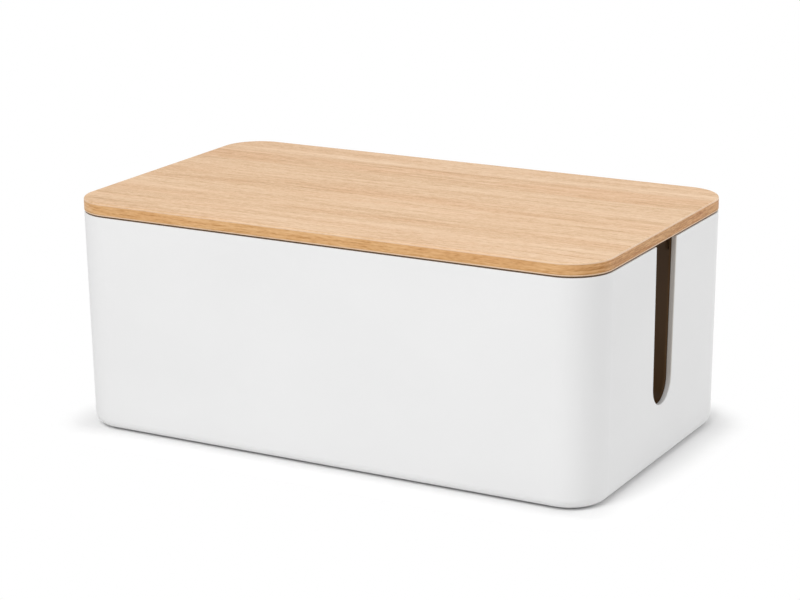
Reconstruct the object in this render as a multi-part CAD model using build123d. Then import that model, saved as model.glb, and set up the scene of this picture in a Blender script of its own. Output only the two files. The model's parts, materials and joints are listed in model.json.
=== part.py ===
from build123d import *
import math
import os

# Cable management box: a moulded tub with a U-shaped cable slot in each end, a dark inner liner that hangs
# in it, four rubber feet, and a lift-off veneered lid kept in place by a screwed-on locating frame.
#
# Frame: millimetres, +Z up, X along the length, the front faces -Y. The origin is the middle of the
# footprint, on the surface that the feet stand on.

# ---- driving dimensions: tub -------------------------------------------------------------------------
LENGTH = 330.0  # outside, along X, at the rim and the lid
WIDTH = 190.0  # outside, along Y, at the rim and the lid
CORNER_RADIUS = 24.0  # upright corners, at the rim and the lid
TUB_HEIGHT = 127.2  # from the tub's underside to its rim
DRAFT_DEG = 0.73  # every wall leans in by this much towards the bottom
WALL = 3.0
FLOOR = 3.0
BOTTOM_RADIUS = 6.0  # outside, where wall turns into floor
EDGE_ROUNDING = 0.5  # rim and slot edges
GATE_DIMPLE_RADIUS = 6.0  # shallow dimple in the underside, round the moulding gate
GATE_DIMPLE_DEPTH = 0.5
GATE_STUB_RADIUS = 1.5
GATE_STUB_HEIGHT = 0.3

# ---- driving dimensions: cable slots -----------------------------------------------------------------
SLOT_WIDTH = 27.0  # at the rim
SLOT_ARC_RADIUS = 12.3  # round lower end, a bit narrower than the mouth, so the sides flare
SLOT_BOTTOM = 34.4  # lowest point of the slot, above the tub's underside

# ---- driving dimensions: liner -----------------------------------------------------------------------
LINER_WALL = 1.2
LINER_CLEARANCE = 0.2  # between liner and tub
LINER_RIM_THICKNESS = 0.95  # the turned-out rim hangs on the tub's rim and carries the lid
LINER_RIM_SETBACK = 0.8  # the rim stops this far inside the tub's outer face
LINER_INNER_RADIUS = 6.0  # where the liner's wall turns into its floor
LINER_SLOT_MARGIN = 0.5  # the liner's cut-outs are larger than the tub's by this much all round
LINER_ROUNDING = 0.5  # inner edge of the liner's rim

# ---- driving dimensions: feet ------------------------------------------------------------------------
FOOT_RADIUS = 8.0
FOOT_THICKNESS = 2.0
FOOT_PROUD = 1.0  # stands out of the underside by this much, and the rest sits in a recess
FOOT_INSET = 24.0  # centre of a foot from the outline, on both sides
FOOT_FIT = 0.3  # radial room in the recess
FOOT_ROUNDING = 0.5

# ---- driving dimensions: lid -------------------------------------------------------------------------
FACE_VENEER = 1.2
CORE_THICKNESS = 5.4
BACK_VENEER = 0.75
BAND_THICKNESS = 0.6
BAND_JOINT = 0.2  # open butt joint in the middle of the back edge
LID_TOP_ROUNDING = 1.0
LID_BOTTOM_ROUNDING = 0.4

# ---- driving dimensions: locating frame under the lid ------------------------------------------------
FRAME_CLEARANCE = 1.2  # between the frame's skirt and the liner's wall
FLANGE_THICKNESS = 2.5
FLANGE_WIDTH = 16.0
SKIRT_THICKNESS = 2.0
SKIRT_DEPTH = 10.0  # below the underside of the lid
SKIRT_LEAD_IN = 0.8  # chamfer that finds the liner
SKIRT_GAP = 32.0  # the skirt is open this wide at each cable slot
RIB_THICKNESS = 1.2
RIB_REACH = 7.0
RIB_PLACES = (-88.0, -44.0, 44.0, 88.0)  # along X, on both long sides

# ---- driving dimensions: countersunk screws, 3 x 8 mm ------------------------------------------------
SHANK_RADIUS = 1.5
HEAD_RADIUS = 2.8
SCREW_LENGTH = 8.0
TIP_LENGTH = 1.5
TIP_RADIUS = 0.3
SCREW_FIT = 0.05  # room round head and shank in what the screw goes through
CROSS_DEPTH = 1.0
CROSS_WIDTH = 0.8
CROSS_REACH = 3.0
SCREW_SPREAD = 115.0  # outer screws of a long side, from the middle

# ---- heights above the surface -----------------------------------------------------------------------
TUB_BOTTOM = FOOT_PROUD
RIM = TUB_BOTTOM + TUB_HEIGHT
LID_BOTTOM = RIM + LINER_RIM_THICKNESS
CORE_BOTTOM = LID_BOTTOM + BACK_VENEER
CORE_TOP = CORE_BOTTOM + CORE_THICKNESS
LID_TOP = CORE_TOP + FACE_VENEER
SCREW_FACE = LID_BOTTOM - FLANGE_THICKNESS  # the heads lie flush with this face of the frame
SKIRT_BOTTOM = LID_BOTTOM - SKIRT_DEPTH

# ---- distances from the outline ----------------------------------------------------------------------
LINER_OUTSIDE = WALL + LINER_CLEARANCE
LINER_INSIDE = LINER_OUTSIDE + LINER_WALL
FRAME_OUTSIDE = LINER_INSIDE + FRAME_CLEARANCE
SKIRT_INSIDE = FRAME_OUTSIDE + SKIRT_THICKNESS
SCREW_INSET = FRAME_OUTSIDE + (SKIRT_THICKNESS + FLANGE_WIDTH) / 2


def plate(inset, low, high, taper=0.0):
    """A solid with the box's rounded outline, inset all round, between two heights.

    A taper makes the outline shrink downwards from the upper height."""
    outline = RectangleRounded(LENGTH - 2 * inset, WIDTH - 2 * inset, CORNER_RADIUS - inset)
    return extrude(Pos(0, 0, high) * outline, amount=high - low, dir=(0, 0, -1), taper=taper)


def drafted_block(inset, low, high, bottom_radius):
    """What a drafted wall encloses, rounded at the bottom. The inset is the one at the rim's height."""
    inset_here = inset + (RIM - high) * math.tan(math.radians(DRAFT_DEG))
    block = plate(inset_here, low, high, DRAFT_DEG)
    return fillet(level_edges(block, low), bottom_radius)


def level_edges(shape, height):
    """All edges that lie flat at one height."""
    return shape.edges().filter_by_position(Axis.Z, height - 0.001, height + 0.001)


def disc(place, radius, low, high):
    """An upright round disc between two heights, at a place (x, y)."""
    return Pos(*place, (low + high) / 2) * Cylinder(radius, high - low)


# ---- tub ---------------------------------------------------------------------------------------------


def slot_bar(margin=0.0):
    """A bar with the slot's U-shaped outline that runs through both end walls, larger by a margin.

    Each side is the line through the mouth's corner that touches the arc."""
    middle = TUB_BOTTOM + SLOT_BOTTOM + SLOT_ARC_RADIUS
    mouth_y, mouth_height = SLOT_WIDTH / 2, RIM - middle
    reach = math.hypot(mouth_y, mouth_height)
    flare = math.acos(SLOT_ARC_RADIUS / reach) - math.atan2(mouth_height, mouth_y)
    radius = SLOT_ARC_RADIUS + margin
    low_y, low_z = radius * math.cos(flare), middle - radius * math.sin(flare)
    top_y = low_y + (LID_TOP - low_z) * math.tan(flare)
    outline = Curve() + [
        ThreePointArc((-low_y, low_z), (0, middle - radius), (low_y, low_z)),
        Line((low_y, low_z), (top_y, LID_TOP)),
        Line((top_y, LID_TOP), (-top_y, LID_TOP)),
        Line((-top_y, LID_TOP), (-low_y, low_z)),
    ]
    return extrude(Plane.YZ * make_face(outline), amount=LENGTH, both=True)


def foot_places():
    """Name and centre (x, y) of each foot."""
    x, y = LENGTH / 2 - FOOT_INSET, WIDTH / 2 - FOOT_INSET
    return {
        "foot_front_left": (-x, -y),
        "foot_front_right": (x, -y),
        "foot_back_left": (-x, y),
        "foot_back_right": (x, y),
    }


def outer_shell():
    """The white tub: drafted walls, round corners, a slot in each end, and a recess for each foot."""
    tub = drafted_block(0, TUB_BOTTOM, RIM, BOTTOM_RADIUS)
    tub -= drafted_block(WALL, TUB_BOTTOM + FLOOR, RIM, BOTTOM_RADIUS - FLOOR)
    tub -= slot_bar()

    slot_edges = tub.edges().filter_by_position(Axis.Y, -SLOT_WIDTH, SLOT_WIDTH)
    slot_edges = slot_edges.filter_by_position(Axis.Z, SLOT_BOTTOM, RIM - EDGE_ROUNDING)
    tub = fillet(level_edges(tub, RIM) + slot_edges, EDGE_ROUNDING)

    for place in foot_places().values():
        tub -= disc(place, FOOT_RADIUS + FOOT_FIT, 0, FOOT_THICKNESS)
    tub -= disc((0, 0), GATE_DIMPLE_RADIUS, 0, TUB_BOTTOM + GATE_DIMPLE_DEPTH)
    gate_top = TUB_BOTTOM + GATE_DIMPLE_DEPTH
    return tub + disc((0, 0), GATE_STUB_RADIUS, gate_top - GATE_STUB_HEIGHT, gate_top)


def foot(place):
    """A round rubber foot with a rounded lower edge."""
    pad = disc(place, FOOT_RADIUS, 0, FOOT_THICKNESS)
    return fillet(level_edges(pad, 0), FOOT_ROUNDING)


# ---- liner -------------------------------------------------------------------------------------------


def inner_liner():
    """The dark tray in the tub. Its rim is turned out over the tub's rim, and is open at the slots."""
    bottom = TUB_BOTTOM + FLOOR + LINER_CLEARANCE
    tray = drafted_block(LINER_OUTSIDE, bottom, RIM, LINER_INNER_RADIUS + LINER_WALL)
    tray += plate(LINER_RIM_SETBACK, RIM, LID_BOTTOM)
    tray -= drafted_block(LINER_INSIDE, bottom + LINER_WALL, LID_BOTTOM, LINER_INNER_RADIUS)
    rim_face = tray.faces().sort_by(Axis.Z)[-1]
    tray = fillet(rim_face.inner_wires().edges(), LINER_ROUNDING)
    return tray - slot_bar(LINER_SLOT_MARGIN)


# ---- lid ---------------------------------------------------------------------------------------------


def screw_places():
    """Centre (x, y) of each screw: three along each long side of the flange, one in each end."""
    x, y = LENGTH / 2 - SCREW_INSET, WIDTH / 2 - SCREW_INSET
    long_sides = [(along, side * y) for side in (-1, 1) for along in (-SCREW_SPREAD, 0, SCREW_SPREAD)]
    return long_sides + [(-x, 0), (x, 0)]


def screw_body(place, fit=0.0):
    """Head, shank and tip of one screw, head down, larger all round by fit."""
    head_height = HEAD_RADIUS - SHANK_RADIUS
    tip_start = SCREW_FACE + SCREW_LENGTH - TIP_LENGTH
    shank_radius = SHANK_RADIUS + fit
    head = Cone(HEAD_RADIUS + fit, shank_radius, head_height)
    tip = Cone(shank_radius, TIP_RADIUS + fit, TIP_LENGTH)
    body = disc(place, shank_radius, SCREW_FACE, tip_start)
    body += Pos(*place, SCREW_FACE + head_height / 2) * head
    return body + Pos(*place, tip_start + TIP_LENGTH / 2) * tip


def screw(place):
    """One screw with its cross recess. The thread is left out."""
    cross = Box(CROSS_REACH, CROSS_WIDTH, CROSS_DEPTH) + Box(CROSS_WIDTH, CROSS_REACH, CROSS_DEPTH)
    return screw_body(place) - Pos(*place, SCREW_FACE + CROSS_DEPTH / 2) * cross


def with_screw_holes(shape):
    """The shape with room for every screw."""
    for place in screw_places():
        shape -= screw_body(place, SCREW_FIT)
    return shape


def lid_core():
    """The board between the veneers."""
    return with_screw_holes(plate(BAND_THICKNESS, CORE_BOTTOM, CORE_TOP))


def lid_edge_band():
    """The wooden strip round the board's edge, butted in the middle of the back."""
    band = plate(0, CORE_BOTTOM, CORE_TOP) - plate(BAND_THICKNESS, CORE_BOTTOM, CORE_TOP)
    joint = Box(BAND_JOINT, 2 * BAND_THICKNESS, CORE_THICKNESS)
    return band - Pos(0, WIDTH / 2, (CORE_BOTTOM + CORE_TOP) / 2) * joint


def lid_top_veneer():
    """The face veneer, rounded at its outer edge."""
    return fillet(level_edges(plate(0, CORE_TOP, LID_TOP), LID_TOP), LID_TOP_ROUNDING)


def lid_bottom_veneer():
    """The thinner veneer underneath, rounded at its outer edge, with a hole for each screw."""
    sheet = plate(0, LID_BOTTOM, CORE_BOTTOM)
    return with_screw_holes(fillet(level_edges(sheet, LID_BOTTOM), LID_BOTTOM_ROUNDING))


def lid_frame():
    """The moulded frame that keeps the lid in place: a flange against the lid, a skirt that drops into
    the liner and is open at the cable slots, and ribs between the two."""
    frame = plate(FRAME_OUTSIDE, SKIRT_BOTTOM, LID_BOTTOM)
    frame = chamfer(level_edges(frame, SKIRT_BOTTOM), SKIRT_LEAD_IN)
    frame -= plate(SKIRT_INSIDE, SKIRT_BOTTOM, SCREW_FACE)
    frame -= plate(FRAME_OUTSIDE + FLANGE_WIDTH, SCREW_FACE, LID_BOTTOM)
    drop = SCREW_FACE - SKIRT_BOTTOM
    frame -= Pos(0, 0, SKIRT_BOTTOM + drop / 2) * Box(LENGTH, SKIRT_GAP, drop)
    for side in (-1, 1):
        for along in RIB_PLACES:
            frame += frame_rib(along, side)
    return with_screw_holes(frame)


def frame_rib(along, side):
    """A triangular rib in the corner of flange and skirt, on the front (-1) or back (1) side."""
    corner_y = WIDTH / 2 - SKIRT_INSIDE
    corner = (side * corner_y, SCREW_FACE)
    on_flange = (side * (corner_y - RIB_REACH), SCREW_FACE)
    on_skirt = (side * corner_y, SCREW_FACE - RIB_REACH)
    triangle = Plane.YZ * make_face(Polyline(corner, on_flange, on_skirt, close=True))
    return Pos(along, 0, 0) * extrude(triangle, amount=RIB_THICKNESS / 2, both=True)


# ---- output ------------------------------------------------------------------------------------------


def write_nodes():
    """Writes one STEP file for each node."""
    nodes = {
        "outer_shell": outer_shell(),
        "inner_liner": inner_liner(),
        "lid_core": lid_core(),
        "lid_top_veneer": lid_top_veneer(),
        "lid_bottom_veneer": lid_bottom_veneer(),
        "lid_edge_band": lid_edge_band(),
        "lid_frame": lid_frame(),
        "lid_frame_screws": Compound(children=[screw(place).solid() for place in screw_places()]),
    }
    for name, place in foot_places().items():
        nodes[name] = foot(place)

    os.makedirs("parts", exist_ok=True)
    for name, shape in nodes.items():
        shape.label = name
        export_step(shape, f"parts/{name}.step")


write_nodes()
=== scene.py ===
# %% [markdown]
# # A cable management box
# The box hides a power strip and its cables. It is a white moulded tub with a slot in each end,
# a dark liner that hangs in the tub, four rubber feet, and a lid of oak-veneered board that lifts
# straight off. Under the lid a screwed-on frame keeps it in place.
#
# The exact solids come from a CAD model. This lesson loads them, keeps every solid whose shape is
# already right, makes three kinds of piece again with more detail, and gives each one a finish.

# %% Load the exact model
import json
import math

import bpy
import numpy as np
from mathutils import Matrix, Vector


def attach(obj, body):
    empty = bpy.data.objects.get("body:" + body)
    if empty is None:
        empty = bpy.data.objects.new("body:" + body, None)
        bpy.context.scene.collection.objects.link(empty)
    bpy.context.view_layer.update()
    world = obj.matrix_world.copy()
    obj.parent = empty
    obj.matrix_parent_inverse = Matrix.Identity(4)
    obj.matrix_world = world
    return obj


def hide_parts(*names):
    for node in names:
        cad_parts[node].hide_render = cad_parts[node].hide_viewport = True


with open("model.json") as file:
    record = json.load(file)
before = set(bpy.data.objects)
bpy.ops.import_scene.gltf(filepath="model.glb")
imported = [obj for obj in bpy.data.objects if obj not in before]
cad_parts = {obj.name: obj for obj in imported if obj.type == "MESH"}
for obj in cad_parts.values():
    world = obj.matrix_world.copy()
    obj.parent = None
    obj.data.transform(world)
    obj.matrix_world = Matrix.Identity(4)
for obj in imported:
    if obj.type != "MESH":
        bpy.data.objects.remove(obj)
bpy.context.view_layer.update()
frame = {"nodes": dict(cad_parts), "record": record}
for body, names in frame["record"]["behaviour"]["bodies"].items():
    print(f"body {body}: {', '.join(names)}")

# %% [markdown]
# ## Sizes
# A piece that is made again has to fill the room of the solid that it stands for. Its sizes are
# the ones of the CAD model, in millimetres, because that is how such a part is drawn. Blender
# works in metres, so everything is divided by a thousand at the moment it becomes a mesh.
#
# The outline of the box is needed first. Each piece brings its own sizes later.

# %% Outline of the box, in millimetres
MM = 0.001
LENGTH, WIDTH, CORNER_RADIUS = 330.0, 190.0, 24.0
print(f"the box is {LENGTH:.0f} x {WIDTH:.0f} mm, with corners of {CORNER_RADIUS:.0f} mm radius")

# %% [markdown]
# ## Camera
# A product picture is taken from far away with a long lens, so that the sides of the box stay
# nearly parallel. The camera is placed by how far it is turned round the box, how high it looks
# from and how much it is rolled. Its three own directions then follow from cross products: `back`
# points from the box to the camera, and `right` and `up` span the picture.

# %% Camera
CAMERA_PLACE = Vector((0.641115, -1.155336, 0.447093))
TURN, RISE, ROLL = (math.radians(angle) for angle in (29.0485, 15.7635, -0.5473))
LENS_MM, SENSOR_MM = 106.54, 36.0

back = Vector((math.sin(TURN) * math.cos(RISE), -math.cos(TURN) * math.cos(RISE), math.sin(RISE)))
level_right = Vector((0, 0, 1)).cross(back).normalized()
level_up = back.cross(level_right)
right = level_right * math.cos(ROLL) + level_up * math.sin(ROLL)
up = level_up * math.cos(ROLL) - level_right * math.sin(ROLL)

camera = bpy.data.objects.new("camera", bpy.data.cameras.new("camera"))
camera.data.lens = LENS_MM
camera.data.sensor_width = SENSOR_MM
directions = Matrix((right, up, back)).transposed().to_4x4()
camera.matrix_world = Matrix.Translation(CAMERA_PLACE) @ directions
bpy.context.scene.collection.objects.link(camera)
bpy.context.scene.camera = camera
bpy.context.scene.view_settings.view_transform = "Standard"
print(f"the camera stands {CAMERA_PLACE.length:.2f} m away, {math.degrees(RISE):.1f} degrees up")

# %% [markdown]
# ## Colours and nodes
# A hex code such as `#EBC8A6` says how a colour looks on a screen. Blender calculates with light,
# where the numbers are linear, so one function turns the first into the second.
#
# A finish is a small network of nodes. Blender has many kinds of node, but each of them is made,
# set and linked in the same way, so one function is enough for all of them. An input is given by
# its name, or by its number where several have the same name: on a Mix node 0 is the share, and 6
# and 7 are the two colours.
#
# Most finishes also need soft irregular patterns of a known size. `pattern` makes those from three
# nodes: the place is divided by the size that is wanted, noise is read there, and a part of its
# range is stretched.

# %% Helpers for colours and nodes
def linear(hex_code):
    """Linear red, green, blue and alpha of an sRGB hex code. A channel c below 0.04045 is divided
    by 12.92, and any other becomes ((c + 0.055) / 1.055) to the power of 2.4."""
    channels = [int(hex_code[i:i + 2], 16) / 255 for i in (1, 3, 5)]
    return [c / 12.92 if c < 0.04045 else ((c + 0.055) / 1.055) ** 2.4 for c in channels] + [1.0]


def add_node(tree, kind, inputs=None, ramp=None, **settings):
    """Adds a node. Settings are its own options. Inputs are numbers, colours, outputs, or nodes
    whose first working output is meant. Ramp is a list of (position, colour) from left to right."""
    node = tree.nodes.new("ShaderNode" + kind)
    for name, value in settings.items():
        setattr(node, name, value)
    for name, value in (inputs or {}).items():
        if isinstance(value, bpy.types.Node):
            value = next(output for output in value.outputs if output.enabled)
        if isinstance(value, bpy.types.NodeSocket):
            tree.links.new(value, node.inputs[name])
        else:
            node.inputs[name].default_value = value
    if ramp:
        elements = node.color_ramp.elements
        elements.remove(elements[1])
        elements[0].position, elements[0].color = ramp[0]
        for position, colour in ramp[1:]:
            elements.new(position).color = colour
    return node


def pattern(tree, place, size, start, end, low=0.0, high=1.0, detail=2.0):
    """Noise with blobs of size (x, y, z) in millimetres. It gives low where the noise is below
    start and high where it is above end, out of 0 to 1, with an even rise between them."""
    per_blob = [1 / (MM * length) for length in size]
    scaled = add_node(tree, "Mapping", {"Vector": place, "Scale": per_blob})
    cloud = add_node(tree, "TexNoise", {"Vector": scaled, "Scale": 1.0, "Detail": detail})
    return add_node(tree, "MapRange", {
        "Value": cloud, "From Min": start, "From Max": end, "To Min": low, "To Max": high,
    })


def new_tree(owner):
    """The empty node tree of a new material or world."""
    owner.use_nodes = True
    owner.node_tree.nodes.clear()
    return owner.node_tree


# %% [markdown]
# ## Floor, room and lamps
# The box stands on a white sweep, the paper that photographers roll out under small things. Close
# to the box it shows the shadow, and over the next centimetres it fades to plain white for the
# camera, as in a catalogue picture, so nothing shows where the paper ends.
#
# Only rays from the camera, or ones that come from a mirror or through glass, see that pure white.
# For all other light the paper is a normal off-white, so it doesn't light the box more than real
# paper does. The room is treated in the same way.

# %% White for the camera
def add_white_rays(tree):
    """1 for rays from the camera, from a mirror and through glass, else 0."""
    rays = add_node(tree, "LightPath")
    direct = add_node(tree, "Math", {
        0: rays.outputs["Is Camera Ray"], 1: rays.outputs["Is Glossy Ray"],
    }, operation="MAXIMUM")
    return add_node(tree, "Math", {
        0: direct, 1: rays.outputs["Is Transmission Ray"],
    }, operation="MAXIMUM")


# %% Paper sweep
SWEEP_RADIUS, SWEEP_SIDES = 9.0, 64

angle = np.linspace(0, 2 * np.pi, SWEEP_SIDES, endpoint=False)
rim = SWEEP_RADIUS * np.stack([np.cos(angle), np.sin(angle), 0 * angle], axis=-1)
sweep_mesh = bpy.data.meshes.new("paper_sweep")
sweep_mesh.from_pydata(rim.tolist(), [], [list(range(SWEEP_SIDES))])
sweep = bpy.data.objects.new("paper_sweep", sweep_mesh)
bpy.context.scene.collection.objects.link(sweep)
print(f"the sweep is {2 * SWEEP_RADIUS:.0f} m wide")

# %% [markdown]
# The fade follows the round-cornered outline of the box: beyond a rectangle that is smaller by the
# corner radius, a distance equal to that radius is the outline itself.

# %% White paper
FADE_STARTS, ALL_WHITE = 4.0, 26.0
FIBRE_SIZE = 1.5

paper = bpy.data.materials.new("white_paper")
tree = new_tree(paper)
place = add_node(tree, "TexCoord").outputs["Object"]
white_rays = add_white_rays(tree)
fibres = pattern(tree, place, [FIBRE_SIZE] * 3, 0.3, 0.7, detail=4)
off_white = add_node(tree, "Mix", {
    0: fibres, 6: linear("#E3E3E3"), 7: linear("#E6E6E6"),
}, data_type="RGBA")
shown = add_node(tree, "Mix", {
    0: white_rays, 6: off_white, 7: linear("#FFFFFF"),
}, data_type="RGBA")
surface = add_node(tree, "BsdfDiffuse", {"Color": shown})
inner_corner = [(side / 2 - CORNER_RADIUS) * MM for side in (LENGTH, WIDTH)] + [0]
outside = add_node(tree, "VectorMath", {0: place}, operation="ABSOLUTE")
outside = add_node(tree, "VectorMath", {0: outside, 1: inner_corner}, operation="SUBTRACT")
outside = add_node(tree, "VectorMath", {0: outside, 1: (0, 0, 0)}, operation="MAXIMUM")
distance = add_node(tree, "VectorMath", {0: outside}, operation="LENGTH")
fade_start, fade_end = ((CORNER_RADIUS + length) * MM for length in (FADE_STARTS, ALL_WHITE))
far = add_node(tree, "MapRange", {
    "Value": distance, "From Min": fade_start, "From Max": fade_end,
}, interpolation_type="SMOOTHSTEP")
far = add_node(tree, "Math", {0: far, 1: white_rays}, operation="MULTIPLY")
glow = add_node(tree, "Emission", {"Color": linear("#FFFFFF"), "Strength": 1.0})
mixed = add_node(tree, "MixShader", {0: far, 1: surface, 2: glow})
add_node(tree, "OutputMaterial", {"Surface": mixed})
sweep_mesh.materials.append(paper)
print(f"{paper.name}: all white {ALL_WHITE:.0f} mm from the box")

# %% [markdown]
# The room is an even white all round. It fills the shadows, and gives a bit less than half of the
# light.

# %% Room light
ROOM_LEVEL = 0.455

studio = bpy.data.worlds.new("studio")
tree = new_tree(studio)
white_rays = add_white_rays(tree)
strength = add_node(tree, "MapRange", {"Value": white_rays, "To Min": ROOM_LEVEL, "To Max": 1.0})
room = add_node(tree, "Background", {"Color": linear("#FFFFFF"), "Strength": strength})
add_node(tree, "OutputWorld", {"Surface": room})
bpy.context.scene.world = studio
print(f"the room gives {ROOM_LEVEL} of the light at which a colour looks as written")

# %% [markdown]
# Three soft lamps do the rest. The main one stands in front of the box, so the front is its
# brightest side. The round corner turns away from it and gets darker, and a weaker lamp to the
# right, low and a little behind, brings the end up again without lighting the paper next to it.
# The third one hangs overhead and is small: it lights the lid, and the walls hide it from the
# paper close by, which gives the short dark shadow along the foot of the box.
#
# A lamp of P watts gives a white surface that faces it from d metres the brightness
# P / (pi d) squared, so the watts follow from the brightness that is wanted at the box. Room and
# lamps together come to about 1, the level at which a colour looks as it is written.

# %% Softboxes
AIM = Vector((0, 0, 0.06))
# Place and side in metres, and brightness at the box.
LAMPS = {
    "front_softbox": ((0.0, -1.70, 1.76), 1.4, 0.485),
    "side_softbox": ((1.37, 1.37, 0.58), 1.0, 0.25),
    "overhead_softbox": ((0.0, 0.05, 1.86), 0.35, 0.25),
}


def add_lamp(name, place, size, watts):
    """A soft lamp that shines from its place towards the box."""
    data = bpy.data.lights.new(name, "AREA")
    data.shape = "RECTANGLE"
    data.size, data.size_y = size
    data.energy = watts
    lamp = bpy.data.objects.new(name, data)
    aim = (Vector(place) - AIM).to_track_quat("Z", "Y").to_matrix().to_4x4()
    lamp.matrix_world = Matrix.Translation(place) @ aim
    bpy.context.scene.collection.objects.link(lamp)
    print(f"{name}: {watts:.2f} W")
    return lamp


for name, (place, size, brightness) in LAMPS.items():
    distance = (Vector(place) - AIM).length
    add_lamp(name, place, (size, size), brightness * (math.pi * distance) ** 2)

# %% [markdown]
# With the lid on, the inside of a real box is nearly black, but the slots show the dark brown of
# the liner, as they do to an eye that is used to the dark. Two weak panels that stand back to back
# in the middle of the box make up for that. They are linked to the liner alone, so nothing else is
# lit by them, and the camera doesn't see them.

# %% Panels inside the box
PANEL_SIZE, PANEL_BRIGHTNESS = (0.30, 0.09), 1.32
PANEL_OFF_MIDDLE, PANEL_HEIGHT = 0.005, 0.068

panel_watts = PANEL_BRIGHTNESS * math.pi * PANEL_SIZE[0] * PANEL_SIZE[1]
only_liner = bpy.data.collections.new("lit_from_inside")
only_liner.objects.link(frame["nodes"]["inner_liner"])
for name, side in (("inside_front_panel", -1), ("inside_back_panel", 1)):
    panel = add_lamp(name, (0, PANEL_OFF_MIDDLE * side, PANEL_HEIGHT), PANEL_SIZE, panel_watts)
    panel.rotation_euler = (math.radians(90 * side), 0, 0)
    panel.visible_camera = panel.visible_glossy = False
    panel.light_linking.receiver_collection = only_liner

# %% [markdown]
# ## White tub: injection-moulded ABS
# ABS is the plastic of most household boxes. The steel mould was spark-eroded, which leaves a very
# fine, even grain on the part: it scatters light, so the white looks matt, with a soft, wide
# highlight. ABS reflects like most plastics, with an index of refraction of 1.54.
#
# The upright edges of the slots, the cut faces inside the wall, are painted darker and a little
# warm: painted shade, with a painted reflection of the brown liner in it. A slot's outline is a
# round lower end below two sides that flare a little. So a point is in the slot where its distance
# from the middle line, or from the middle of the round end below it, is less than the slot's half
# width at that height.

# %% Edges of the slots
SLOT_MIDDLE, SLOT_TOP = 47.7, 128.2
SLOT_HALF_WIDTHS = 12.3, 13.5
EDGE_STARTS, EDGE_ENDS = 0.35, 0.7
SHADE_STARTS, ALL_SHADED = 38.0, 50.0


def add_shaded_slot_edges(tree, place, height):
    """1 on the upright edges of the slots, where painted shade goes, up to the rounding outside
    them, else 0. The vector from the middle of the round end loses its X, and its Z where it points
    up, so its length is the distance from the middle line or from that middle."""
    middle = (0, 0, SLOT_MIDDLE * MM)
    across = add_node(tree, "VectorMath", {0: place, 1: middle}, operation="SUBTRACT")
    across = add_node(tree, "VectorMath", {0: across, 1: (0, 1, 1)}, operation="MULTIPLY")
    across = add_node(tree, "VectorMath", {0: across, 1: (0, 1, 0)}, operation="MINIMUM")
    distance = add_node(tree, "VectorMath", {0: across}, operation="LENGTH")
    half_width = add_node(tree, "MapRange", {
        "Value": height, "From Min": SLOT_MIDDLE * MM, "From Max": SLOT_TOP * MM,
        "To Min": SLOT_HALF_WIDTHS[0] * MM, "To Max": SLOT_HALF_WIDTHS[1] * MM,
    })
    past_edge = add_node(tree, "Math", {0: distance, 1: half_width}, operation="SUBTRACT")
    on_edge = add_node(tree, "MapRange", {
        "Value": past_edge, "From Min": EDGE_STARTS * MM, "From Max": EDGE_ENDS * MM,
        "To Min": 1.0, "To Max": 0.0,
    })
    upright = add_node(tree, "MapRange", {
        "Value": height, "From Min": SHADE_STARTS * MM, "From Max": ALL_SHADED * MM,
    })
    return add_node(tree, "Math", {0: on_edge, 1: upright}, operation="MULTIPLY")


# %% [markdown]
# The real grain is about 0.02 mm, far too fine to show, so it is drawn more than ten times as
# coarse. Where the melt flowed in, the tone drifts a little over some centimetres. The rounding
# between wall and underside is painted a little paler, painted light against the shade that falls
# there, and has the faint scuffs of being pushed about, which are smoother than the grain around
# them.

# %% Moulded ABS
DRIFT_SIZE, SHEEN_SIZE, SCUFF_SIZE = (85, 85, 60), (14, 14, 14), (11, 11, 0.7)
WEAR_AND_LIGHT_STARTS, ALL_WORN_AND_LIT = 7.0, 3.0
UNDERSIDE_ENDS, FOOT_STARTS = 1.1, 2.0
SCUFF_STRENGTH, SCUFF_POLISH, SHEEN_SPREAD = 0.25, 0.2, 0.03


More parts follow.
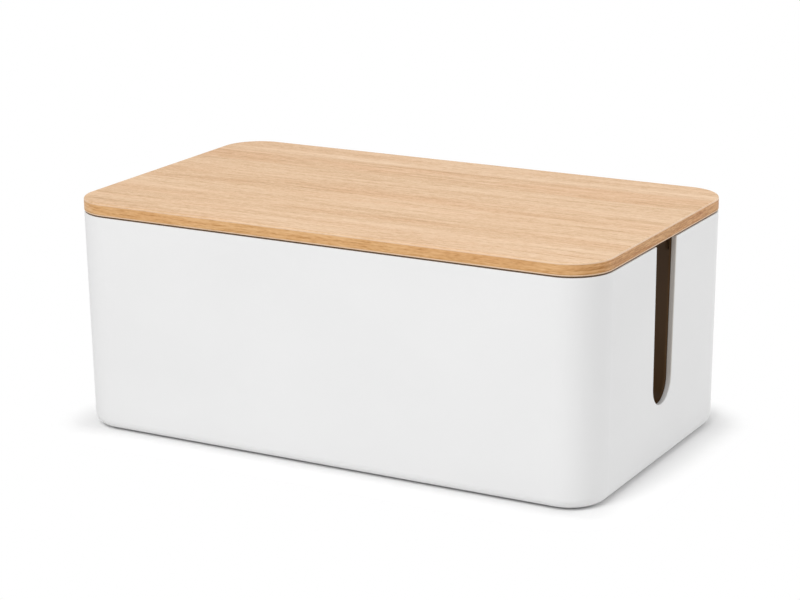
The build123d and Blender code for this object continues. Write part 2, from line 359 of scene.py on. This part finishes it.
def moulded_abs(name, tones, roughness, grain, grain_depth):
    """Moulded plastic. Tones are the two that its colour drifts between, the painted light on the
    foot's rounding, the painted shade on the slots' upright edges, and the scuffs. The grain is a
    field of soft bumps, with its width and depth in millimetres."""
    tone, deeper_tone, foot_light_tone, slot_shade_tone, scuff_tone = map(linear, tones)
    material = bpy.data.materials.new(name)
    tree = new_tree(material)
    place = add_node(tree, "TexCoord").outputs["Object"]

    drift = pattern(tree, place, DRIFT_SIZE, 0.35, 0.65, detail=3)
    colour = add_node(tree, "Mix", {0: drift, 6: tone, 7: deeper_tone}, data_type="RGBA")
    height = add_node(tree, "SeparateXYZ", {"Vector": place}).outputs["Z"]
    low_down = add_node(tree, "MapRange", {
        "Value": height, "From Min": WEAR_AND_LIGHT_STARTS * MM, "From Max": ALL_WORN_AND_LIT * MM,
    })
    not_under = add_node(tree, "MapRange", {
        "Value": height, "From Min": UNDERSIDE_ENDS * MM, "From Max": FOOT_STARTS * MM,
    })
    foot = add_node(tree, "Math", {0: low_down, 1: not_under}, operation="MULTIPLY")
    # Painted light: the foot's rounding is made paler against its shade. The scuffs below use the
    # same mask.
    colour = add_node(tree, "Mix", {0: foot, 6: colour, 7: foot_light_tone}, data_type="RGBA")
    # Painted shade, with a warm painted reflection of the liner, on the slots' upright edges.
    slot_edge_shade = add_shaded_slot_edges(tree, place, height)
    colour = add_node(tree, "Mix", {0: slot_edge_shade, 6: colour, 7: slot_shade_tone}, data_type="RGBA")
    streaks = pattern(tree, place, SCUFF_SIZE, 0.55, 0.68, high=SCUFF_STRENGTH, detail=6)
    scuffs = add_node(tree, "Math", {0: foot, 1: streaks}, operation="MULTIPLY")
    colour = add_node(tree, "Mix", {0: scuffs, 6: colour, 7: scuff_tone}, data_type="RGBA")

    sheen = pattern(tree, place, SHEEN_SIZE, 0.3, 0.7, roughness - SHEEN_SPREAD,
                    roughness + SHEEN_SPREAD, detail=4)
    rough = add_node(tree, "Math", {
        0: scuffs, 1: -SCUFF_POLISH, 2: sheen,
    }, operation="MULTIPLY_ADD")
    bumps = add_node(tree, "TexVoronoi", {
        "Vector": place, "Scale": 1 / (grain * MM),
    }, feature="SMOOTH_F1")
    normal = add_node(tree, "Bump", {"Height": bumps, "Distance": grain_depth * MM})
    shader = add_node(tree, "BsdfPrincipled", {
        "Base Color": colour, "Roughness": rough, "IOR": 1.54, "Normal": normal,
    })
    add_node(tree, "OutputMaterial", {"Surface": shader})
    print(f"{name}: grain {grain} mm wide and {grain_depth} mm deep")
    return material


# %% White and brown plastic
# The third white is painted light on the foot's rounding, the fourth painted shade on the slots'
# edges.
WHITE_TONES = "#F0F0F0", "#EEEEEE", "#F9F9F9", "#D6D1CB", "#CFCDC8"
BROWN_TONES = "#5B4123", "#543C21", "#5B4123", "#5B4123", "#67513C"
white_abs = moulded_abs("white_moulded_abs", WHITE_TONES, 0.52, 0.25, 0.006)
brown_abs = moulded_abs("brown_moulded_abs", BROWN_TONES, 0.55, 0.30, 0.012)

# %% [markdown]
# ## Oak
# The lid is covered with slices of oak about a millimetre thick. The log was sliced so that its
# growth rings come out as nearly straight lines. Several strips of veneer lie side by side, and
# each has its own tone.
#
# The tone, the warmth and the log of every strip are kept as the red, green and blue of one colour
# ramp that runs across the strips. Each log reads another part of the noise, so that the grain of
# one strip doesn't go on in the next.

# %% Strips of veneer
LOG_STEP = (7.3, 2.1, 0.9)
WANDER_SIZE, WANDER = (150, 40, 40), 2.0


def add_strips(tree, place, strips):
    """Tone, warmth and log at a place, as outputs called Red, Green and Blue. Strips are the axis
    that runs across them, where they start and end in millimetres, and a list of (position, tone,
    warmth, log): how light the wood is there, how warm its colour is, and which log it is from."""
    axis, start, end, stops = strips
    across = add_node(tree, "SeparateXYZ", {"Vector": place}).outputs[axis]
    share = add_node(tree, "MapRange", {
        "Value": across, "From Min": start * MM, "From Max": end * MM,
    })
    strip = add_node(tree, "ValToRGB", {"Fac": share}, [(at, (*own, 1.0)) for at, *own in stops])
    return add_node(tree, "SeparateColor", {"Color": strip}).outputs


def add_grain_place(tree, place, log, shift):
    """Where the grain is read: the place plus the log's own step, a shift in millimetres, and a
    slow wander sideways of up to 2 mm."""
    log_step = add_node(tree, "VectorMath", {0: log, 1: LOG_STEP}, operation="MULTIPLY")
    place = add_node(tree, "VectorMath", {0: place, 1: log_step}, operation="ADD")
    shift = [length * MM for length in shift]
    place = add_node(tree, "VectorMath", {0: place, 1: shift}, operation="ADD")
    wander = pattern(tree, place, WANDER_SIZE, 0.2, 0.8, -WANDER * MM, WANDER * MM)
    sideways = add_node(tree, "CombineXYZ", {"Y": wander})
    return add_node(tree, "VectorMath", {0: place, 1: sideways}, operation="ADD")


# %% [markdown]
# Every growth ring ends in a thin dark line of dense summer wood. Oak also has large pores: in the
# wood that grew in spring they are cut open as fine dark dashes along the grain.
#
# All of that is one number, the tone, built up from layers of noise that are long along the grain
# and narrow across it. A ramp then turns the tone into oak colours, from the dark of a pore to the
# light wood between the rings. Where the eased edges turn away from the faces, the tone is painted
# lighter: a painted highlight along the rounding. The lacquer is matt and thin, so it follows the
# pores, and they also give the relief. Real pores are 0.2 to 0.3 mm wide; here they are 0.35 mm,
# so that they show.

# %% Oak
RING_SOFTNESS, PORE_SOFTNESS = 0.12, 0.06
PATCH_SIZE, WARM_TINT = (70, 10, 10), "#EFC08A"
PORE_RELIEF = 0.025
# How level the surface still is where the painted highlight starts, and where it is full.
HIGHLIGHT_STARTS, FULL_HIGHLIGHT = 0.95, 0.5
# How much rougher the dark wood is than the roughness asked for, and how much smoother the light.
DARK_ROUGHER, LIGHT_SMOOTHER = 0.08, 0.04


def oak(name, place_from, colours, layers, lines, pores, strips, roughness, edge_highlight=0.0,
        rise=(0, 0, 0), shift=(0, 0, 0)):
    """Lacquered oak with its grain along X. Edge highlight is how much lighter the tone is painted
    at the edge, where the surface no longer faces up or down: a painted highlight. Rise is how much
    lighter per metre along each axis: a painted gradient of light.

    A layer is (length, width, strength): a pattern of that size in millimetres that is added to
    the tone. Lines, the dark ends of the growth rings, and pores are (length, width, threshold,
    strength)."""
    material = bpy.data.materials.new(name)
    tree = new_tree(material)
    if place_from == "Object":
        place = add_node(tree, "TexCoord").outputs["Object"]
    else:
        place = add_node(tree, "UVMap", uv_map=place_from)

    # Painted light: the tone gets lighter along the rise.
    light_gradient = add_node(tree, "VectorMath", {0: place, 1: rise}, operation="DOT_PRODUCT")
    own = add_strips(tree, place, strips)
    place = add_grain_place(tree, place, own["Blue"], shift)

    tone = add_node(tree, "Math", {0: light_gradient, 1: own["Red"]}, operation="ADD")
    for length, width, strength in layers:
        layer = pattern(tree, place, (length, width, width), 0.25, 0.75, -strength, strength)
        tone = add_node(tree, "Math", {0: tone, 1: layer}, operation="ADD")
    length, width, threshold, strength = lines
    ring_end = pattern(tree, place, (length, width, width), threshold, threshold + RING_SOFTNESS,
                       0.0, strength)
    tone = add_node(tree, "Math", {0: tone, 1: ring_end}, operation="SUBTRACT")

    ring_length, ring_width = layers[1][:2]
    spring_wood = pattern(tree, place, (ring_length, ring_width, ring_width), 0.45, 0.6, 1.0, 0.25)
    length, width, threshold, strength = pores
    pore = pattern(tree, place, (length, width, width), threshold, threshold + PORE_SOFTNESS,
                   detail=1)
    pore = add_node(tree, "Math", {0: pore, 1: spring_wood}, operation="MULTIPLY")
    tone = add_node(tree, "Math", {0: pore, 1: -strength, 2: tone}, operation="MULTIPLY_ADD")

    # Painted highlight: the tone is lighter where the surface turns away from facing up or down.
    facing = add_node(tree, "TexCoord").outputs["Normal"]
    facing = add_node(tree, "SeparateXYZ", {"Vector": facing}).outputs["Z"]
    level = add_node(tree, "Math", {0: facing}, operation="ABSOLUTE")
    painted_highlight = add_node(tree, "MapRange", {
        "Value": level, "From Min": HIGHLIGHT_STARTS, "From Max": FULL_HIGHLIGHT, "To Max": edge_highlight,
    })
    tone = add_node(tree, "Math", {0: tone, 1: painted_highlight}, operation="ADD")

    colour = add_node(tree, "ValToRGB", {"Fac": tone}, [(at, linear(code)) for at, code in colours])
    patches = pattern(tree, place, PATCH_SIZE, 0.4, 0.65, low=0.3, detail=3)
    warmth = add_node(tree, "Math", {0: patches, 1: own["Green"]}, operation="MULTIPLY")
    colour = add_node(tree, "Mix", {
        0: warmth, 6: colour, 7: linear(WARM_TINT),
    }, data_type="RGBA", blend_type="MULTIPLY")
    rough = add_node(tree, "MapRange", {
        "Value": tone, "From Min": 0.2, "From Max": 0.8,
        "To Min": roughness + DARK_ROUGHER, "To Max": roughness - LIGHT_SMOOTHER,
    })
    height = add_node(tree, "Math", {0: pore, 1: -1.0, 2: tone}, operation="MULTIPLY_ADD")
    normal = add_node(tree, "Bump", {"Height": height, "Distance": PORE_RELIEF * MM})
    shader = add_node(tree, "BsdfPrincipled", {
        "Base Color": colour, "Roughness": rough, "IOR": 1.5, "Normal": normal,
    })
    add_node(tree, "OutputMaterial", {"Surface": shader})
    print(f"{name}: {len(layers)} layers of grain, pores {length} x {width} mm")
    return material


# %% [markdown]
# The face of the lid is made of strips from four logs, with a darker streak beside some of the
# joints. Nobody looks at the back, so its veneer is plainer: three wide strips with a duller
# lacquer.

# %% Face and back veneer
FACE_COLOURS = [(0.0, "#AB8258"), (0.3, "#CCA67C"), (0.5, "#DBB892"), (0.75, "#E8C9A8")]
FACE_LAYERS = [
    (420, 18, 0.065), (130, 6, 0.07), (55, 2.6, 0.075), (16, 1.7, 0.08), (5, 1.1, 0.13),
    (2, 0.8, 0.11), (600, 70, 0.06),
]
FACE_LINES, FACE_PORES = (90, 1.1, 0.55, 0.15), (9, 0.35, 0.60, 0.23)
FACE_STRIPS = ("Y", -WIDTH / 2, WIDTH / 2, [
    (0.0, 0.43, 0.20, 0.0), (0.012, 0.46, 0.17, 0.0), (0.03, 0.50, 0.13, 0.0),
    (0.06, 0.51, 0.12, 0.0), (0.174, 0.51, 0.12, 0.0), (0.178, 0.40, 0.12, 0.0),
    (0.184, 0.49, 0.12, 0.1), (0.23, 0.47, 0.18, 0.1), (0.27, 0.50, 0.12, 0.1),
    (0.34, 0.51, 0.08, 0.1), (0.40, 0.485, 0.16, 0.1), (0.52, 0.48, 0.22, 0.1),
    (0.575, 0.51, 0.08, 0.1), (0.707, 0.52, 0.06, 0.1), (0.711, 0.455, 0.24, 0.3),
    (0.845, 0.445, 0.24, 0.3), (0.853, 0.50, 0.08, 0.5), (0.89, 0.51, 0.08, 0.5),
    (0.92, 0.46, 0.14, 0.5), (0.95, 0.49, 0.12, 0.5),
])
BACK_STRIPS = ("Y", -WIDTH / 2, WIDTH / 2, [
    (0.0, 0.58, 0.05, 0.0), (0.347, 0.58, 0.05, 0.0), (0.353, 0.66, 0.0, 0.4),
    (0.617, 0.66, 0.0, 0.4), (0.623, 0.56, 0.1, 0.8),
])
# The face's rise paints it lighter towards the right end, a painted gradient of light.
face_oak = oak("oak_face_veneer", "Object", FACE_COLOURS, FACE_LAYERS, FACE_LINES, FACE_PORES,
               FACE_STRIPS, roughness=0.48, edge_highlight=0.3, rise=(0.22, 0, 0), shift=(1800, 0, 0))
back_oak = oak("oak_back_veneer", "Object", FACE_COLOURS, FACE_LAYERS, FACE_LINES, FACE_PORES,
               BACK_STRIPS, roughness=0.62, edge_highlight=0.25, shift=(4000, 700, 0))

# %% [markdown]
# ## Oak edge band
# A board that is veneered on its faces still shows its core at the edge, so a thin strip of oak is
# bent round the lid and glued on. It comes off a roll, its grain runs along the strip, and it has
# taken the finish darker than the faces. Its tone drifts slowly from one side of the lid to the
# next, and it is painted a little lighter towards its upper edge, painted light from above. Its
# pattern can't read plain coordinates, because the grain has to turn the corners with it. So it
# reads a UV map, whose two numbers are the distance along the strip and the height above the
# strip's middle line.

# %% Edge band finish
BAND_UV = "along_strip"
BAND_RUN = 998.8
BAND_COLOURS = [(0.0, "#AD7133"), (0.25, "#BF8B4E"), (0.5, "#D7A66D"), (0.8, "#E5B984")]
BAND_LAYERS = [
    (300, 6, 0.04), (40, 1.6, 0.15), (18, 1.1, 0.17), (8, 0.9, 0.18), (3.5, 0.7, 0.18),
]
BAND_LINES, BAND_PORES = (80, 0.9, 0.56, 0.12), (9, 0.35, 0.6, 0.2)
BAND_STRIPS = ("X", 0, BAND_RUN, [
    (0.0, 0.50, 0.15, 0.0), (0.18, 0.42, 0.2, 0.0), (0.31, 0.42, 0.2, 0.0), (0.36, 0.56, 0.19, 0.0),
    (0.645, 0.56, 0.19, 0.0), (0.68, 0.34, 0.32, 0.0), (0.83, 0.34, 0.32, 0.0),
    (0.87, 0.45, 0.2, 0.0),
])
# Its rise paints the band lighter towards its upper edge: painted light from above.
band_oak = oak("oak_edging_strip", BAND_UV, BAND_COLOURS, BAND_LAYERS, BAND_LINES, BAND_PORES,
               BAND_STRIPS, roughness=0.45, rise=(0, 20, 0))

# %% [markdown]
# ## Fibreboard, steel and rubber
# The core of the lid is medium-density fibreboard, wood fibres pressed with resin, and it only
# shows inside the screw holes. The screws are steel with a thin bright coat of zinc, whose fine
# crystals scatter the shine. The feet are a soft dark rubber that holds a little dust.

# %% Fibreboard, steel and rubber
def speckled(name, size, tones, roughness, depth, metallic=0.0):
    """A finish whose colour, roughness and relief all follow one fine pattern. Size is that of the
    pattern in millimetres, tones and roughness are what it goes between, and depth is the relief
    in millimetres."""
    material = bpy.data.materials.new(name)
    tree = new_tree(material)
    place = add_node(tree, "TexCoord").outputs["Object"]
    speck = pattern(tree, place, size, 0.3, 0.7, detail=5)
    dark, light = map(linear, tones)
    colour = add_node(tree, "Mix", {0: speck, 6: dark, 7: light}, data_type="RGBA")
    rough = add_node(tree, "MapRange", {
        "Value": speck, "To Min": roughness[0], "To Max": roughness[1],
    })
    normal = add_node(tree, "Bump", {"Height": speck, "Distance": depth * MM})
    shader = add_node(tree, "BsdfPrincipled", {
        "Base Color": colour, "Roughness": rough, "Metallic": metallic, "IOR": 1.5,
        "Normal": normal,
    })
    add_node(tree, "OutputMaterial", {"Surface": shader})
    print(f"{name}: specks of {size} mm")
    return material


fibreboard = speckled("pressed_fibreboard", (1.6, 0.5, 0.3), ("#8A6A48", "#B8956B"), (0.95, 0.8),
                      0.08)
zinc = speckled("zinc_plated_steel", (0.5, 0.5, 0.5), ("#B9BCC2", "#D2D3D4"), (0.24, 0.40), 0.01,
                metallic=1.0)
rubber = speckled("punched_rubber", (0.4, 0.4, 0.4), ("#2B2B2D", "#3B3A38"), (0.85, 0.7), 0.03)

# %% [markdown]
# ## Surfaces from numbers
# Every new piece is a grid of points: rows run along it and columns run round it, and both ends
# are closed. The whole grid is worked out at once with numpy, one function joins it up, and
# another turns it into a mesh, joins it to its body and hides the solid of the exact model that it
# stands for.

# %% Helpers for surfaces
SHARP_ANGLE = math.radians(35)


def closed_tube(grid, ends=()):
    """Vertices and faces of a grid of (rows, columns, 3) points whose columns close on themselves.
    The first and last row are closed by a flat face each, or by triangles to two end points."""
    rows, columns = grid.shape[:2]
    row = np.arange(rows - 1)[:, None] * columns
    here = np.arange(columns)
    there = (here + 1) % columns
    corners = [row + here, row + there, row + columns + there, row + columns + here]
    faces = np.stack(corners, axis=-1).reshape(-1, 4).tolist()
    top = (rows - 1) * columns
    points = grid.reshape(-1, 3)
    if len(ends) == 0:
        return points, faces + [here[::-1].tolist(), (top + here).tolist()]
    first_end, last_end = rows * columns, rows * columns + 1
    faces += np.stack([there, here, np.full(columns, first_end)], axis=-1).tolist()
    faces += np.stack([top + here, top + there, np.full(columns, last_end)], axis=-1).tolist()
    return np.vstack([points, ends]), faces


def new_piece(name, points, faces, material, body, replaced, uv=None):
    """A mesh of points in millimetres, with its material. It joins its body and hides the solid
    that it stands for.
    """
    mesh = bpy.data.meshes.new(name)
    mesh.from_pydata((points * MM).tolist(), [], faces)
    mesh.polygons.foreach_set("use_smooth", np.ones(len(mesh.polygons), dtype=bool))
    if uv is not None:
        vertex = np.zeros(len(mesh.loops), dtype=np.int32)
        mesh.loops.foreach_get("vertex_index", vertex)
        mesh.uv_layers.new(name=BAND_UV).data.foreach_set("uv", (uv * MM)[vertex].ravel())
    mesh.materials.append(material)
    mesh.set_sharp_from_angle(angle=SHARP_ANGLE)
    mesh.update()
    piece = bpy.data.objects.new(name, mesh)
    bpy.context.scene.collection.objects.link(piece)
    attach(piece, body)
    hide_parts(replaced)
    size = np.ptp(points, axis=0)
    print(f"{name}: {len(faces)} faces, {size[0]:.1f} x {size[1]:.1f} x {size[2]:.1f} mm")


# %% [markdown]
# ## The edge band's shape
# The exact model has the band too, but its coordinates don't run along the strip. So it is made
# again: a small profile, the strip's cross-section with its two outer edges eased with sandpaper,
# is carried along the outline of the lid. It starts and ends at the joint in the middle of the
# back.
#
# A round-cornered outline is easy to walk. A point goes round the rectangle of the corners'
# centres, and a spoke sticks out of it. Along a side the point moves and the spoke keeps still. At
# a corner the point rests and the spoke swings through a quarter turn. Both change evenly with the
# distance, so plain interpolation between the ends of the runs gives every place.

# %% Walk round the outline
half_x, half_y = LENGTH / 2 - CORNER_RADIUS, WIDTH / 2 - CORNER_RADIUS
quarter = CORNER_RADIUS * math.pi / 2
runs = np.array([
    half_x, quarter, 2 * half_y, quarter, 2 * half_x, quarter, 2 * half_y, quarter, half_x,
])
run_ends = np.concatenate([[0], np.cumsum(runs)])
centre_x = half_x * np.array([0, -1, -1, -1, -1, 1, 1, 1, 1, 0])
centre_y = half_y * np.array([1, 1, 1, -1, -1, -1, -1, 1, 1, 1])
spoke_turn = np.pi / 2 * np.array([1, 1, 2, 2, 3, 3, 4, 4, 5, 5])
print(f"the outline is {run_ends[-1]:.1f} mm long, in {len(runs)} runs")

# %% Edge band
BAND_LOW, BAND_HIGH = 129.9, 135.3
BAND_THICKNESS, BAND_EASE = 0.6, 0.12
BAND_JOINT = 0.2
CORNER_STEPS = 24


def band_surface(joint, thickness, ease):
    """A point is centre(s) + (corner radius - inset) (cos turn(s), sin turn(s)), for each distance
    s along the outline and each inset and height of the profile."""
    bends = run_ends[1:8:2, None] + np.linspace(0, quarter, CORNER_STEPS + 1)
    straights = [joint / 2, run_ends[5] - half_x, run_ends[-1] - joint / 2]
    s = np.sort(np.concatenate([straights, bends.ravel()]))
    inset = np.array([0, 0, ease, thickness, thickness, ease])
    height = np.array([BAND_LOW + ease, BAND_HIGH - ease, BAND_HIGH, BAND_HIGH, BAND_LOW, BAND_LOW])
    turn = np.interp(s, run_ends, spoke_turn)[:, None]
    x = np.interp(s, run_ends, centre_x)[:, None] + (CORNER_RADIUS - inset) * np.cos(turn)
    y = np.interp(s, run_ends, centre_y)[:, None] + (CORNER_RADIUS - inset) * np.sin(turn)
    z = np.broadcast_to(height, x.shape)
    above_middle = z - (BAND_LOW + BAND_HIGH) / 2
    uv = np.stack([np.broadcast_to(s[:, None], x.shape), above_middle], axis=-1).reshape(-1, 2)
    return np.stack([x, y, z], axis=-1), uv


grid, uv = band_surface(BAND_JOINT, BAND_THICKNESS, BAND_EASE)
points, faces = closed_tube(grid)
new_piece("edge_band", points, faces, band_oak, "lid", "lid_edge_band", uv)

# %% [markdown]
# ## Turned pieces
# Feet and screws are round, so they are all made by turning: each point has a radius and a height,
# and the radius is swung round the piece's axis. Where radius or height also depend on the angle,
# the same function makes a cross recess or a screw thread.

# %% Turned surface
def turned(radius, height, place):
    """Grids of radius and height, rows by columns, become points at radius (cos a, sin a) from the
    axis at a place (x, y). Both ends close in one point on the axis."""
    radius, height = np.broadcast_arrays(radius, height)
    angle = np.linspace(0, 2 * np.pi, radius.shape[1], endpoint=False)
    x, y = place[0] + radius * np.cos(angle), place[1] + radius * np.sin(angle)
    grid = np.stack([x, y, height], axis=-1)
    ends = [(*place, height[0].mean()), (*place, height[-1].mean())]
    return closed_tube(grid, ends)


# %% [markdown]
# ## Rubber feet
# The feet are punched from a rubber sheet whose tread has three round grooves that grip. The
# profile starts in the middle of the tread, crosses the grooves, turns up round the rounded lower
# edge and comes back over the flat top, which is glued into its recess in the tub.

# %% Profile of a foot
FOOT_RADIUS, FOOT_HEIGHT, FOOT_ROUNDING = 8.0, 2.0, 0.5
GROOVES, GROOVE_HALF_WIDTH, GROOVE_DEPTH = np.array([2.2, 3.8, 5.4]), 0.35, 0.25
TREAD_STARTS, TOP_ENDS, TOP_EASE = 0.4, 0.5, 0.15
TREAD_POINTS, EDGE_POINTS, FOOT_COLUMNS = 60, 9, 72


def foot_profile():
    """Radius and height along the profile. A groove is half a cosine wave, the lower edge a quarter
    circle."""
    tread_r = np.linspace(TREAD_STARTS, FOOT_RADIUS - FOOT_ROUNDING, TREAD_POINTS)
    from_groove = np.abs(tread_r[:, None] - GROOVES).min(axis=1)
    tread_z = GROOVE_DEPTH * np.cos(np.pi / 2 * np.clip(from_groove / GROOVE_HALF_WIDTH, 0, 1))
    turn = np.linspace(0, np.pi / 2, EDGE_POINTS)[1:]
    edge_r = FOOT_RADIUS - FOOT_ROUNDING + FOOT_ROUNDING * np.sin(turn)
    edge_z = FOOT_ROUNDING - FOOT_ROUNDING * np.cos(turn)
    top_r = [FOOT_RADIUS, FOOT_RADIUS - TOP_EASE, TOP_ENDS]
    top_z = [FOOT_HEIGHT - TOP_EASE, FOOT_HEIGHT, FOOT_HEIGHT]
    return np.concatenate([tread_r, edge_r, top_r]), np.concatenate([tread_z, edge_z, top_z])


profile_r, profile_z = foot_profile()
print(f"the profile of a foot has {len(profile_r)} points")

# %% Rubber feet
FOOT_X, FOOT_Y = 141.0, 71.0
FEET = {
    "foot_front_left": (-FOOT_X, -FOOT_Y), "foot_front_right": (FOOT_X, -FOOT_Y),
    "foot_back_left": (-FOOT_X, FOOT_Y), "foot_back_right": (FOOT_X, FOOT_Y),
}
for node, place in FEET.items():
    points, faces = turned(profile_r[:, None] * np.ones(FOOT_COLUMNS), profile_z[:, None], place)
    name = node.replace("foot", "rubber_foot")
    new_piece(name, points, faces, rubber, "tub", node)

# %% [markdown]
# ## Screws
# The frame under the lid is held by countersunk wood screws of 3 by 8 mm with a cross recess. The
# exact model leaves the thread out. Here it is there: the radius of the shank swells to the crest
# wherever the height, in pitches, is half-way to a whole number more than the angle's share of a
# turn, so the crest climbs by one pitch in each turn.

# %% Surface of a screw
SCREW_FACE, SCREW_LENGTH = 126.65, 8.0
HEAD_RADIUS, THREAD_RADIUS, CORE_RADIUS = 2.8, 1.5, 1.12
RECESS_DEPTH, ARM_HALF_WIDTH, ARM_REACH, ARM_WALL, ARM_END_SLOPE = 1.0, 0.38, 1.5, 0.10, 0.45
RECESS_RADII, RIM_RADII = np.linspace(0.06, 1.8, 30), [2.1, 2.4, 2.62]
CONE = np.array([(2.72, 0.02), (HEAD_RADIUS, 0.10), (HEAD_RADIUS - 0.04, 0.20), (1.45, 1.55)])
SHANK_STARTS, SHANK_STEP, TIP_EASE = 1.75, 0.08, 0.06
TAPER_STARTS, TIP_SHARE = 6.3, 0.12
PITCH, CREST_HALF_WIDTH = 0.8, 0.24
THREAD_STARTS, THREAD_GROWS, THREAD_REACH = 1.9, 0.8, 1.3
SCREW_COLUMNS = 96


def screw_surface(turn):
    """Radius and height of a screw, head down: the face sinks inside a cross that is turned by an
    angle, the cone narrows to the shank, and the shank carries the thread down to its tip. The
    crest's half width is in pitches, and the thread reaches a little into the tapered tip."""
    angle = np.linspace(0, 2 * np.pi, SCREW_COLUMNS, endpoint=False)
    face_r = np.concatenate([RECESS_RADII, RIM_RADII])[:, None]
    x, y = np.abs(face_r * np.cos(angle - turn)), np.abs(face_r * np.sin(angle - turn))
    beside_arm = (ARM_HALF_WIDTH - np.minimum(x, y)) / ARM_WALL
    past_arm = (ARM_REACH - np.maximum(x, y)) / ARM_END_SLOPE
    face_z = RECESS_DEPTH * np.clip(np.minimum(beside_arm, past_arm), 0, 1)

    shank_z = np.arange(SHANK_STARTS, SCREW_LENGTH - TIP_EASE, SHANK_STEP)[:, None]
    thickness = np.interp(shank_z, [TAPER_STARTS, SCREW_LENGTH], [1.0, TIP_SHARE])
    phase = (shank_z / PITCH - angle / (2 * np.pi)) % 1.0
    grown = np.clip((shank_z - THREAD_STARTS) / THREAD_GROWS, 0, 1)
    ridge = np.clip(1 - np.abs(phase - 0.5) / CREST_HALF_WIDTH, 0, 1) * grown
    thread = (THREAD_RADIUS - CORE_RADIUS) * ridge * np.clip(thickness * THREAD_REACH, 0, 1)
    shank_r = CORE_RADIUS * thickness + thread

    whole = np.ones(SCREW_COLUMNS)
    radius = np.vstack([face_r * whole, CONE[:, :1] * whole, shank_r])
    height = np.vstack([face_z, CONE[:, 1:] * whole, shank_z * whole])
    return radius, SCREW_FACE + height


# %% [markdown]
# Three screws hold the frame along each long side and one at each end. Every screw stopped at
# another angle, so each turns its recess by a random part of a quarter turn. The seed makes it the
# same part in each run.

# %% Screws
SCREW_PLACES = [(x, y) for y in (-80.4, 80.4) for x in (-115.0, 0.0, 115.0)]
SCREW_PLACES += [(-150.4, 0.0), (150.4, 0.0)]
SEED = 7

turns = np.random.default_rng(SEED).uniform(0, np.pi / 2, len(SCREW_PLACES))
all_points, all_faces = [], []
for place, turn in zip(SCREW_PLACES, turns):
    points, faces = turned(*screw_surface(turn), place)
    first = sum(len(done) for done in all_points)
    all_faces += [[corner + first for corner in face] for face in faces]
    all_points.append(points)
new_piece("frame_screws", np.vstack(all_points), all_faces, zinc, "lid", "lid_frame_screws")
print(f"{len(SCREW_PLACES)} screws hold the frame under the lid")

# %% [markdown]
# ## Finishes on the exact solids
# The other solids already have the right shape, so they only get their finish. Those that a new
# piece stands for get the same finish as that piece.

# %% Finish the solids
FINISHES = {
    "outer_shell": white_abs, "inner_liner": brown_abs, "lid_frame": brown_abs,
    "lid_core": fibreboard, "lid_top_veneer": face_oak, "lid_bottom_veneer": back_oak,
    "lid_edge_band": band_oak, "lid_frame_screws": zinc,
    **{node: rubber for node in FEET},
}
for node, material in FINISHES.items():
    for material_slot in frame["nodes"][node].material_slots:
        material_slot.material = material
    print(f"{node}: {material.name}")
